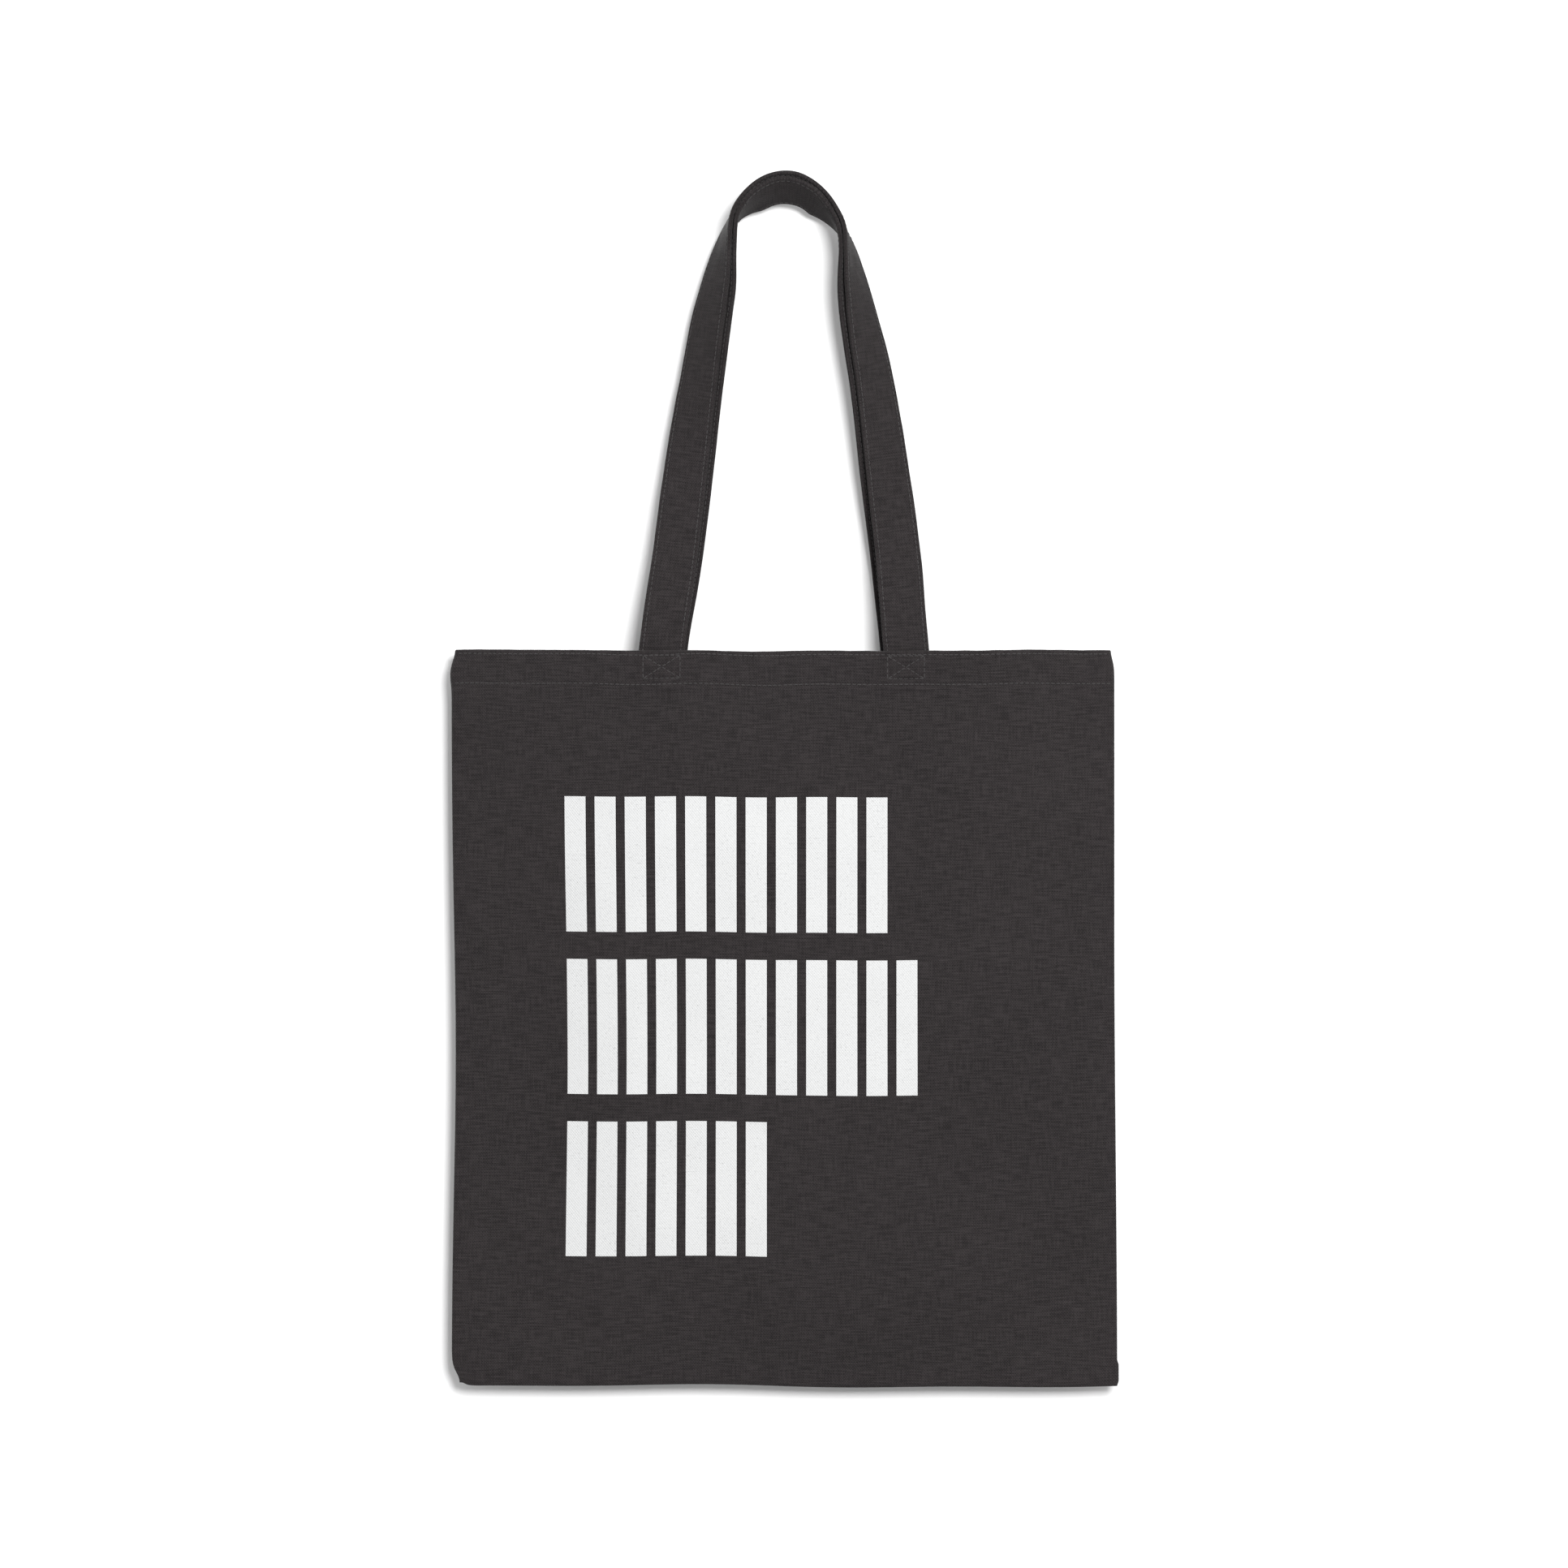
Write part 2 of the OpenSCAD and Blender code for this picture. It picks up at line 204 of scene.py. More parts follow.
def box_pucker(x, z, leg_x):
    """Hollows along the box stitching and the small quilted swells between them."""
    total = np.zeros(np.broadcast(x, z).shape)
    for sign in (-1, 1):
        u = (x - sign * leg_x) / (BOX_W / 2)
        v = (z - (BAG_H - BOX_DROP - BOX_H / 2)) / (BOX_H / 2)
        inside = (np.abs(u) < 1.25) & (np.abs(v) < 1.35)
        frame_line = np.minimum(np.abs(np.abs(u) - 1) * BOX_W / 2, np.abs(np.abs(v) - 1) * BOX_H / 2)
        reach = np.maximum(np.abs(u), np.abs(v))
        frame_line = np.where(reach < 1.08, frame_line, 9 * MM)
        cross = np.minimum(np.abs(u - v), np.abs(u + v)) * BOX_W * BOX_H / math.hypot(BOX_W, BOX_H) / 2
        cross = np.where(reach < 1, cross, 9 * MM)
        line = np.minimum(frame_line, cross)
        total += np.where(inside, -0.75 * MM * np.exp(-(line / (1.0 * MM)) ** 2), 0)
        total += np.where(reach < 1, 0.45 * MM * (1 - np.exp(-(line / (1.3 * MM)) ** 2)), 0)
        total += np.where(inside, 0.22 * MM * waves(x, z, 3.4 * MM, 77), 0)
    return total


def outline_shift(x, z):
    """How the hanging bag leaves a true rectangle, as shifts in x and z."""
    left = smooth(-x / HALF_W)
    right = smooth(x / HALF_W)
    waist = 2.4 * MM * np.exp(-((z - 190 * MM) / (105 * MM)) ** 2)
    low_right = 1.6 * MM * (1 - smooth(z / (260 * MM))) - 1.2 * MM
    seam_bump = 0.9 * MM * (1 - smooth((z - SEAM_W) / (3 * MM))) * smooth(z / (3 * MM))
    dx = left * waist + right * (low_right + seam_bump * smooth((x - HALF_W + 6 * MM) / (6 * MM)))
    corner = np.exp(-(((x + HALF_W) / (7 * MM)) ** 2 + (z / (9 * MM)) ** 2))
    dx = dx + 4.5 * MM * corner
    rim_corner = np.exp(-((HALF_W - np.abs(x)) / (10 * MM)) ** 2 - ((BAG_H - z) / (7 * MM)) ** 2)
    dx = dx - np.sign(x) * 2.0 * MM * rim_corner
    hem_bulge = np.exp(-((BAG_H - z - 14 * MM) / (7 * MM)) ** 2)
    dx = dx - 0.8 * MM * hem_bulge * smooth((-x - HALF_W + 12 * MM) / (12 * MM))
    dip = 0.5 * MM * (z / BAG_H) * (2 * (x / HALF_W) ** 2 - 1)
    dip = dip + 0.35 * MM * waves(x, 0 * z, 80 * MM, 9) * smooth(z / BAG_H)
    low_wave = 0.7 * MM * waves(x, 0 * z, 150 * MM, 5) * (1 - z / BAG_H)
    dz = dip + low_wave + 2.0 * MM * corner
    return dx, dz


SIM_X = np.linspace(-HALF_W, HALF_W, 45)
SIM_Z = np.linspace(0, BAG_H, 49)
SIM_STEPS = 26
DRAPE_CAP = 3.5 * MM
# The cloth is this share longer and wider than the outline it is sewn to
CLOTH_EASE = 0.0005


def sim_cage():
    """A coarse bag for the simulation: two grids that share their sides and bottom."""
    index = {}
    points = []
    for side in (FRONT, BACK):
        for j, z in enumerate(SIM_Z):
            for i, x in enumerate(SIM_X):
                shared = i in (0, len(SIM_X) - 1) or j == 0
                if shared and side == BACK:
                    index[(side, j, i)] = index[(FRONT, j, i)]
                    continue
                index[(side, j, i)] = len(points)
                points.append((x, 0 if shared else side * (half_gap(x, z) + CANVAS_T), BOTTOM_Z + z))
    faces = []
    for side in (FRONT, BACK):
        for j in range(len(SIM_Z) - 1):
            for i in range(len(SIM_X) - 1):
                corners = [index[(side, j + b, i + a)] for a, b in ((0, 0), (1, 0), (1, 1), (0, 1))]
                faces.append(corners[::-side])
    return new_mesh("cloth_cage", points, faces), index


def drape_depths():
    """Lets the cloth between the seams and the rim settle. Returns how far each panel moves outwards."""
    still = {side: np.zeros((len(SIM_Z), len(SIM_X))) for side in (FRONT, BACK)}
    cage, index = sim_cage()
    pins = cage.vertex_groups.new(name="pins")
    for (side, j, i), point in index.items():
        if i in (0, len(SIM_X) - 1) or j in (0, len(SIM_Z) - 1):
            pins.add([point], 1.0, "REPLACE")
        elif SIM_Z[j] > BAG_H - HEM_H:
            pins.add([point], 0.3, "REPLACE")
    cloth = cage.modifiers.new("cloth", "CLOTH")
    cloth.settings.quality = 8
    cloth.settings.mass = 0.3
    cloth.settings.tension_stiffness = 25
    cloth.settings.compression_stiffness = 25
    cloth.settings.shear_stiffness = 8
    cloth.settings.bending_stiffness = 3
    cloth.settings.vertex_group_mass = "pins"
    cloth.settings.shrink_min = -CLOTH_EASE
    cloth.point_cache.frame_start = 1
    cloth.point_cache.frame_end = SIM_STEPS
    for step in range(1, SIM_STEPS + 1):
        bpy.context.scene.frame_set(step)
    settled = cage.evaluated_get(bpy.context.evaluated_depsgraph_get()).data
    ends = np.array([v.co[:] for v in settled.vertices])
    starts = np.array([v.co[:] for v in cage.data.vertices])
    moved = ends - starts
    for (side, j, i), point in index.items():
        still[side][j, i] = np.clip(moved[point, 1] * side, -DRAPE_CAP, DRAPE_CAP)
    bpy.data.objects.remove(cage)
    bpy.context.scene.frame_set(1)
    return still


def kernel(fine, coarse):
    """Weights that carry values from the coarse grid lines over to the fine ones, smoothly."""
    spread = 0.75 * (coarse[1] - coarse[0])
    weights = np.exp(-(((fine[:, None] - coarse[None, :]) / spread) ** 2))
    return weights / weights.sum(axis=1, keepdims=True)


class Panel:
    """The outer face of one panel on a grid, and what lies at a distance out of it."""

    def __init__(self, side, seed, settled):
        self.side = side
        x, z = np.meshgrid(GRID_X, GRID_Z)
        depth = half_gap(x, z) + CANVAS_T
        edge = round_edge(HALF_W - np.abs(x), 2.4 * MM) * round_edge(z, 2.4 * MM)
        self.leg_x = LEG_X - TUCK if side == BACK else LEG_X
        swell = STRAP_SWELL * strap_bump(x, z, self.leg_x) + box_pucker(x, z, self.leg_x)
        drape = kernel(GRID_Z, SIM_Z) @ settled @ kernel(GRID_X, SIM_X).T
        drape = drape + 0.7 * MM * waves(x, z * 0.7, 170 * MM, seed)
        drape = drape + 0.3 * MM * waves(x, z, 60 * MM, seed + 3)
        calm = smooth((HALF_W - np.abs(x)) / (50 * MM)) * smooth(z / (60 * MM))
        calm = calm * mix(1, 0.35, smooth((z - BAG_H + 70 * MM) / (60 * MM)))
        depth = depth + drape * calm + pucker(x, z, seed + 7) + swell
        depth = np.maximum(depth * edge, 0.15 * MM)
        dx, dz = outline_shift(x, z)
        self.points = np.stack([x + dx, side * depth, BOTTOM_Z + z + dz], axis=-1)
        self.update_normals()

    def update_normals(self):
        along_x = np.gradient(self.points, GRID_X, axis=1)
        along_z = np.gradient(self.points, GRID_Z, axis=0)
        normal = np.cross(along_x, along_z) * (1 if self.side == FRONT else -1)
        self.normals = unit(normal)

    def at(self, x, z, out=0.0):
        """Points at out metres off the outer face, and the face's normals there."""
        column = np.interp(x, GRID_X, np.arange(len(GRID_X)))
        row = np.interp(z, GRID_Z, np.arange(len(GRID_Z)))
        i = np.minimum(column.astype(int), len(GRID_X) - 2)
        j = np.minimum(row.astype(int), len(GRID_Z) - 2)
        u = (column - i)[..., None]
        v = (row - j)[..., None]
        blended = []
        for values in (self.points, self.normals):
            low = mix(values[j, i], values[j, i + 1], u)
            high = mix(values[j + 1, i], values[j + 1, i + 1], u)
            blended.append(mix(low, high, v))
        return blended[0] + blended[1] * np.asarray(out)[..., None], blended[1]


def panel_mesh(name, panel):
    """The panel as one closed cloth: up its face, over the rim and down its hem and inner face."""
    x, z = np.meshgrid(GRID_X, GRID_Z)
    rows = len(GRID_Z)
    hem = smooth((z - (BAG_H - HEM_H)) / (1.0 * MM))
    thick = CANVAS_T + HEM_T * hem
    thick = thick + 0.12 * MM * waves(x, z, 12 * MM, 31) * hem
    outer = panel.points
    inner = outer.copy()
    depth = np.abs(outer[..., 1])
    inner[..., 1] = panel.side * np.maximum(depth - thick, 0.06 * MM)
    top_out = outer[-1]
    top_in = inner[-1]
    middle = (top_out + top_in) / 2
    half = (top_out - top_in) / 2
    height = np.abs(half[:, 1:2]) * np.array([0, 0, 1])
    fold = [middle + half * math.cos(a) + height * math.sin(a) for a in np.linspace(0, math.pi, 9)[1:-1]]
    ring = np.concatenate([outer, np.array(fold), inner[::-1]])
    flat_z = np.concatenate([GRID_Z, [BAG_H] * len(fold), 2 * BAG_H - GRID_Z[::-1]])
    count, columns = ring.shape[:2]
    flat = np.stack(np.meshgrid(GRID_X, flat_z), axis=-1).reshape(-1, 2)
    faces = []
    for j in range(count):
        k = (j + 1) % count
        for i in range(columns - 1):
            faces.append((j * columns + i, j * columns + i + 1, k * columns + i + 1, k * columns + i))
    for i, turn in ((0, 1), (columns - 1, -1)):
        for j in range(rows - 1):
            quad = (j, j + 1, count - 2 - j, count - 1 - j)
            faces.append(tuple(r * columns + i for r in quad[::turn]))
        cap = range(rows - 1, count - rows + 1)
        faces.append(tuple(r * columns + i for r in list(cap)[::turn]))
    if panel.side == BACK:
        faces = [f[::-1] for f in faces]
    return new_mesh(name, ring.reshape(-1, 3), faces, flat)


# ---------------------------------------------------------------- sweeps and stitches

def sweep_mesh(name, rings, flat):
    """A skin over rings of points, rings[k] being one closed loop, with both ends closed."""
    count, corners = rings.shape[:2]
    faces = []
    for k in range(count - 1):
        for c in range(corners):
            d = (c + 1) % corners
            faces.append((k * corners + c, k * corners + d, (k + 1) * corners + d, (k + 1) * corners + c))
    faces.append(tuple(range(corners))[::-1])
    faces.append(tuple((count - 1) * corners + c for c in range(corners)))
    return new_mesh(name, rings.reshape(-1, 3), faces, flat.reshape(-1, flat.shape[-1]))


STITCH_SIDES = 6
STITCH_RINGS = np.linspace(-1, 1, 7)
# The part of the pitch that shows as thread, before it dips into the cloth
STITCH_SHARE = 0.80


def stitches(name, rows):
    """Sewn rows. Each row is (points, normals) along a line on the cloth, and gets one short thread
    for each stitch, which rises out of the cloth and dips back into it."""
    all_points = []
    all_faces = []
    all_flat = []
    angles = np.arange(STITCH_SIDES) * 2 * math.pi / STITCH_SIDES
    for row_number, (points, normals) in enumerate(rows):
        steps = np.linalg.norm(np.diff(points, axis=0), axis=1)
        length = np.concatenate([[0], np.cumsum(steps)])
        count = max(1, int(round(length[-1] / STITCH_PITCH)))
        pitch = length[-1] / count
        rng = np.random.default_rng(100 + row_number)
        for k in range(count):
            middle = (k + 0.5) * pitch + rng.normal(0, 0.03) * pitch
            where = middle + STITCH_RINGS * STITCH_SHARE * pitch / 2
            centre = np.stack([np.interp(where, length, points[:, a]) for a in range(3)], axis=-1)
            up = np.stack([np.interp(where, length, normals[:, a]) for a in range(3)], axis=-1)
            up = unit(up)
            along = unit(np.gradient(centre, axis=0))
            side = np.cross(up, along)
            side = side * math.cos(0.12) + along * rng.normal(0, 0.05)
            lift = THREAD_R * (1.15 * (1 - STITCH_RINGS ** 4) - 0.55)
            size = THREAD_R * (1 - 0.55 * STITCH_RINGS ** 6)
            base = sum(len(p) for p in all_points)
            ring = (
                (centre + up * lift[:, None])[:, None, :]
                + side[:, None, :] * (np.cos(angles)[None, :, None] * size[:, None, None] * 1.15)
                + up[:, None, :] * (np.sin(angles)[None, :, None] * size[:, None, None] * 0.85)
            )
            all_points.append(ring.reshape(-1, 3))
            flat_along = np.repeat(where, STITCH_SIDES)
            flat_round = np.tile(angles * THREAD_R, len(STITCH_RINGS))
            all_flat.append(np.stack([flat_along, flat_round], axis=-1))
            for j in range(len(STITCH_RINGS) - 1):
                for c in range(STITCH_SIDES):
                    d = (c + 1) % STITCH_SIDES
                    a, b = base + j * STITCH_SIDES, base + (j + 1) * STITCH_SIDES
                    all_faces.append((a + c, a + d, b + d, b + c))
            last = base + (len(STITCH_RINGS) - 1) * STITCH_SIDES
            all_faces.append(tuple(base + c for c in range(STITCH_SIDES))[::-1])
            all_faces.append(tuple(last + c for c in range(STITCH_SIDES)))
    return new_mesh(name, np.concatenate(all_points), all_faces, np.concatenate(all_flat))


def hem_inner(panel, x, z, out=0.0):
    """A line on the inner face of a panel's hem, out metres towards the middle of the bag."""
    points, normals = panel.at(x, z, np.full(np.shape(x), -(CANVAS_T + HEM_T + out)))
    return points, -normals


# ---------------------------------------------------------------- handle straps

OUTLINE_X = LEG_X + STRAP_W / 2
BEND_HEIGHT = 0.69 * ARCH_H
OUTLINE = np.array([
    [OUTLINE_X, 0],
    [OUTLINE_X - LEG_LEAN, BEND_HEIGHT],
    [ARCH_HALF_W, ARCH_H],
    [0, ARCH_H],
])
LEVEL_END = 0.08
OFFSET_DECAY = 14
# How far the hung straps lean to the right above the rim, and back again near the peg
SWAY_OUT = 1.5 * MM
SWAY_BACK = 1.0 * MM
# Where up the leg the strap starts to lie level over the peg, and over how much of it
PEG_START = 0.70
PEG_SPAN = 0.22
EDGE_SOFTNESS = 0.12
# A lower value turns a leg edge-on further below the arch
RIGHT_TURN_START = 0.74
LEFT_TURN_START = 0.82


def outline_at(u):
    """The outer outline of the right leg, as x and height above the rim, and its direction."""
    v = 1 - u
    weights = np.stack([v ** 3, 3 * v * v * u, 3 * v * u * u, u ** 3], axis=-1)
    slope = np.stack([v * v, 2 * v * u, u * u], axis=-1) @ np.diff(OUTLINE, axis=0)
    return weights @ OUTLINE, unit(slope)


def half_loop(side, turn_start):
    """Centres, width directions and face directions of one strap up its right leg."""
    u = np.linspace(0, 1, 150) ** 1.1
    place, slope = outline_at(u)
    square = np.stack([-slope[:, 1], slope[:, 0]], axis=-1)
    inward = unit(mix(np.array([-1.0, 0.0]), square, smooth(u / LEVEL_END)[:, None]))
    turn = LEG_TWIST * smooth(2 * u) + (math.pi / 2 + HOOK_TILT - LEG_TWIST) * smooth(2 * u - turn_start)
    base = half_gap(LEG_X, BAG_H) - HEM_T - STRAP_PLAY - STRAP_T / 2
    hook_offset = (STRAP_T + mix(EDGE_PLAY, PEG_PLAY, smooth((u - 0.78) / 0.12))) / 2
    offset = mix(hook_offset, base, (1 - u) ** OFFSET_DECAY * (1 + OFFSET_DECAY * u))
    level = smooth((u - PEG_START) / PEG_SPAN)[:, None]
    across = unit(mix(inward, np.array([0.0, -1.0]), level))
    width = np.stack([across[:, 0] * np.cos(turn), -np.sin(turn), across[:, 1] * np.cos(turn)], axis=-1)
    tangent = np.stack([square[:, 1], 0 * u, -square[:, 0]], axis=-1)
    over_peg = unit(np.cross(width, tangent))
    upright = np.stack([inward[:, 0] * np.sin(turn), np.cos(turn), inward[:, 1] * np.sin(turn)], axis=-1)
    over_peg = over_peg * np.sign((over_peg * upright).sum(axis=1, keepdims=True))
    face = unit(mix(upright, over_peg, level))
    reach = STRAP_W / 2 * np.hypot(np.cos(turn), EDGE_SOFTNESS * np.sin(turn))
    place = place + across * reach[:, None] + face[:, [0, 2]] * (STRAP_T / 2 + offset)[:, None]
    centre = np.stack([place[:, 0], 0 * u, RIM_Z + place[:, 1]], axis=-1) + face * (side * offset)[:, None]
    return centre, width, face


def sewn_end(panel, side):
    """The strap's stretch inside the right side of the hem, from its cut end up to the rim."""
    z = np.linspace(BAG_H - END_DROP, BAG_H - 0.9 * MM, 14)
    x = np.full(len(z), panel.leg_x)
    centre, _ = panel.at(x, z)
    inward = CANVAS_T + HEM_T + STRAP_SWELL + STRAP_PLAY + STRAP_T / 2
    centre[:, 1] -= side * inward
    width = np.tile([-1.0, 0, 0], (len(z), 1))
    face = np.tile([0, 1.0, 0], (len(z), 1))
    return centre, width, face


def strap_half(panel, side, turn_start):
    """Centres, width and face directions from the right sewn end to the top of the arch."""
    end = sewn_end(panel, side)
    loop = half_loop(side, turn_start)
    rise = loop[0][:, 2] - RIM_Z
    tuck = (LEG_X - panel.leg_x) * mix(1, 1.6, smooth((rise - 80 * MM) / (120 * MM)))
    loop[0][:, 0] -= tuck * smooth((ARCH_H - 42 * MM - rise) / (30 * MM))
    gap = loop[0][0] - end[0][-1]
    fade = np.linspace(0, 1, len(end[0])) ** 2
    end[0][:, 1] += gap[1] * fade
    return [np.concatenate([low[:-1], high]) for low, high in zip(end, loop)]


def strap_frames(panel, side):
    """Centres, width and face directions from the left sewn end over the arch to the right one."""
    right = strap_half(panel, side, RIGHT_TURN_START)
    left = strap_half(panel, side, LEFT_TURN_START)
    mirror = np.array([-1.0, 1, 1])
    centre, width, face = (np.concatenate([(a * mirror)[:-1], b[::-1]]) for a, b in zip(left, right))
    height = centre[:, 2] - RIM_Z
    back = SWAY_BACK * smooth((height - 150 * MM) / (50 * MM))
    centre[:, 0] += SWAY_OUT * smooth(height / (60 * MM)) - back
    return centre, width, face


def strap_profile():
    """The strap's cross-section: thinner along its stitching, with its folds meeting in each edge."""
    half = STRAP_W / 2
    row = half - STRAP_ROW
    across = np.linspace(-1, 1, 27) * (half - 1.0 * MM)
    dent = np.exp(-((np.abs(across) - row) / (0.75 * MM)) ** 2)
    swell = 0.16 * MM * np.cos(across / half * math.pi / 2)
    thick = STRAP_T / 2 - 0.14 * MM + swell - 0.34 * MM * dent
    edge = []
    for a in np.linspace(90, -90, 9)[1:-1]:
        rad = math.radians(a)
        notch = 0.55 if abs(a) < 1 else 1.0
        out = half - 1.0 * MM + 1.0 * MM * math.cos(rad) * notch
        edge.append([out, (STRAP_T / 2 - 0.2 * MM) * math.sin(rad)])
    edge = np.array(edge)
    top = np.stack([across, thick], axis=-1)
    bottom = np.stack([across[::-1], -thick[::-1]], axis=-1)
    return np.concatenate([top, edge, bottom, -edge])


def strap_mesh(name, frames, seed):
    centre, width, face = frames
    profile = strap_profile()
    steps = np.linalg.norm(np.diff(centre, axis=0), axis=1)
    length = np.concatenate([[0], np.cumsum(steps)])
    ripple = 0.12 * MM * waves(length[:, None], profile[None, :, 0], 16 * MM, seed)
    narrow = 1 + 0.008 * waves(length, 0 * length, 45 * MM, seed + 1)
    rings = (
        centre[:, None, :]
        + width[:, None, :] * (profile[None, :, 0] * narrow[:, None])[..., None]
        + face[:, None, :] * (profile[None, :, 1] + ripple)[..., None]
    )
    flat = np.empty(rings.shape[:2] + (2,))
    flat[..., 0] = profile[None, :, 0] + np.where(profile[:, 1] > 0, 0, 0.05)[None, :]
    flat[..., 1] = length[:, None]
    piece = sweep_mesh(name, rings, flat)
    return piece, length[-1]


def strap_rows(frames, edge):
    """The two faces' sewn rows near one edge of a strap."""
    centre, width, face = frames
    across = edge * (STRAP_W / 2 - STRAP_ROW)
    out = STRAP_T / 2 - 0.34 * MM - 0.05 * MM + THREAD_R * 0.35
    return [(centre + width * across + face * sign * out, face * sign) for sign in (-1, 1)]


# ---------------------------------------------------------------- materials

class Nodes:
    """A short way to write a material's nodes."""

    def __init__(self, name):
        self.material = bpy.data.materials.new(name)
        self.material.use_nodes = True
        self.tree = self.material.node_tree
        self.shader = self.tree.nodes["Principled BSDF"]

    def add(self, kind, inputs=None, **settings):
        node = self.tree.nodes.new(kind)
        for key, value in settings.items():
            setattr(node, key, value)
        for key, value in (inputs or {}).items():
            self.put(node, key, value)
        return node

    def put(self, node, key, value):
        if isinstance(value, bpy.types.NodeSocket):
            self.tree.links.new(value, node.inputs[key])
        else:
            node.inputs[key].default_value = value

    def math(self, operation, a, b=0.0, c=0.0):
        return self.add("ShaderNodeMath", {0: a, 1: b, 2: c}, operation=operation).outputs[0]

    def ramp(self, value, low, high, start=0.0, end=1.0):
        node = self.add("ShaderNodeMapRange", {0: value, 1: low, 2: high, 3: start, 4: end}, clamp=True)
        return node.outputs[0]

    def noise(self, vector, scale, detail=2.0, rough=0.5):
        inputs = {"Vector": vector, "Scale": scale, "Detail": detail, "Roughness": rough}
        return self.add("ShaderNodeTexNoise", inputs).outputs[0]

    def stretch(self, vector, x, y, shift=0.0):
        scaled = self.add("ShaderNodeVectorMath", {0: vector, 1: (x, y, 1.0)}, operation="MULTIPLY")
        moved = {0: scaled.outputs[0], 1: (shift, shift, 0.0)}
        return self.add("ShaderNodeVectorMath", moved, operation="ADD").outputs[0]

    def blend(self, share, a, b):
        node = self.add("ShaderNodeMix", data_type="RGBA", blend_type="MIX")
        self.put(node, 0, share)
        self.put(node, 6, a)
        self.put(node, 7, b)
        return node.outputs[2]

    def flat(self):
        return self.add("ShaderNodeAttribute", attribute_name="flat").outputs["Vector"]

    def bump(self, height, distance, strength=1.0):
        node = self.add("ShaderNodeBump", {"Height": height, "Distance": distance, "Strength": strength})
        self.tree.links.new(node.outputs[0], self.shader.inputs["Normal"])


WARP_PITCH = 0.74 * MM
WEFT_PITCH = 0.87 * MM


def weave(n, flat):
    """Height of the plain weave, 0 to 1: warp and weft take turns on top, so the high spots alternate."""
    split = n.add("ShaderNodeSeparateXYZ", {0: flat})
    wobble = n.noise(flat, 70.0, 1.0)
    warp = n.math("MULTIPLY_ADD", split.outputs[0], math.pi / WARP_PITCH, n.math("MULTIPLY", wobble, 2.4))
    weft = n.math("MULTIPLY_ADD", split.outputs[1], math.pi / WEFT_PITCH, n.math("MULTIPLY", wobble, 2.8))
    crossing = n.math("MULTIPLY", n.math("SINE", warp), n.math("SINE", weft))
    return n.math("MULTIPLY_ADD", crossing, 0.5, 0.5)


def slubs(n, flat):
    """Thick places in the yarn: short light streaks along the warp and the weft."""
    along_weft = n.noise(n.stretch(flat, 45, 0.9 / WEFT_PITCH, 3.1), 1.0, 2.0, 0.6)
    along_warp = n.noise(n.stretch(flat, 0.9 / WARP_PITCH, 45, 7.7), 1.0, 2.0, 0.6)
    weft = n.ramp(along_weft, 0.64, 0.80)
    warp = n.ramp(along_warp, 0.66, 0.82)
    return n.math("MAXIMUM", weft, warp)


def canvas_material(name, dark, light, fleck=1.0):
    n = Nodes(name)
    flat = n.flat()
    height = weave(n, flat)
    streak = slubs(n, flat)
    cloud = n.noise(flat, 9.0, 3.0, 0.55)
    weft = n.noise(n.stretch(flat, 90, 1.0 / WEFT_PITCH, 2.3), 1.0, 2.0, 0.6)
    warp = n.noise(n.stretch(flat, 1.0 / WARP_PITCH, 90, 4.9), 1.0, 2.0, 0.6)
    yarns = n.math("MULTIPLY_ADD", weft, 0.6, n.math("MULTIPLY", warp, 0.4))
    # Painted shade: the weave's low spots are coloured darker and its high spots lighter, on top of the
    # cloth's random cloud, yarn and slub tones.
    tone = n.math("MULTIPLY_ADD", n.ramp(cloud, 0.3, 0.7), 0.14, n.math("MULTIPLY", height, 0.55))
    tone = n.math("ADD", tone, n.math("MULTIPLY", n.ramp(yarns, 0.41, 0.59), 0.50))
    tone = n.math("ADD", tone, n.math("MULTIPLY", streak, 0.75 * fleck))
    colour = n.blend(n.ramp(tone, 0.0, 1.3), dark, light)
    speck = n.ramp(n.noise(n.stretch(flat, 700, 700, 5.0), 1.0, 1.0), 0.74, 0.80)
    colour = n.blend(n.math("MULTIPLY", speck, 0.6), colour, (0.012, 0.010, 0.010, 1))
    n.put(n.shader, "Base Color", colour)
    n.put(n.shader, "Roughness", 0.92)
    n.put(n.shader, "Specular IOR Level", 0.22)
    n.put(n.shader, "Sheen Weight", 0.05)
    n.put(n.shader, "Sheen Roughness", 0.45)
    relief = n.math("ADD", height, n.math("MULTIPLY", streak, 0.8))
    relief = n.math("ADD", relief, n.math("MULTIPLY", yarns, 1.2))
    n.bump(relief, 0.00022, 0.9)
    return n.material


def ink_material(name, ink, cloth):
    """Screen-print ink that lies on the yarns' tops and leaves dark pinholes between them."""
    n = Nodes(name)
    flat = n.flat()
    height = weave(n, flat)
    streak = slubs(n, flat)
    worn = n.noise(n.stretch(flat, 1, 1), 700.0, 3.0, 0.65)
    patch = n.noise(flat, 45.0, 2.0)
    holes = n.math("ADD", n.ramp(worn, 0.60, 0.80, 0.0, 0.5), n.ramp(height, 0.4, 0.0, 0.0, 0.20))
    holes = n.math("MULTIPLY", holes, n.ramp(patch, 0.3, 0.65, 0.35, 1.0))
    tone = n.blend(n.ramp(worn, 0.35, 0.65), ink, tuple(c * 0.93 for c in ink[:3]) + (1,))
    colour = n.blend(n.math("MINIMUM", holes, 0.75), tone, cloth)
    n.put(n.shader, "Base Color", colour)
    n.put(n.shader, "Roughness", 0.62)
    n.put(n.shader, "Specular IOR Level", 0.35)
    relief = n.math("ADD", height, n.math("MULTIPLY", streak, 0.7))
    relief = n.math("SUBTRACT", relief, n.math("MULTIPLY", holes, 0.8))
    n.bump(relief, 0.00018, 0.8)
    return n.material


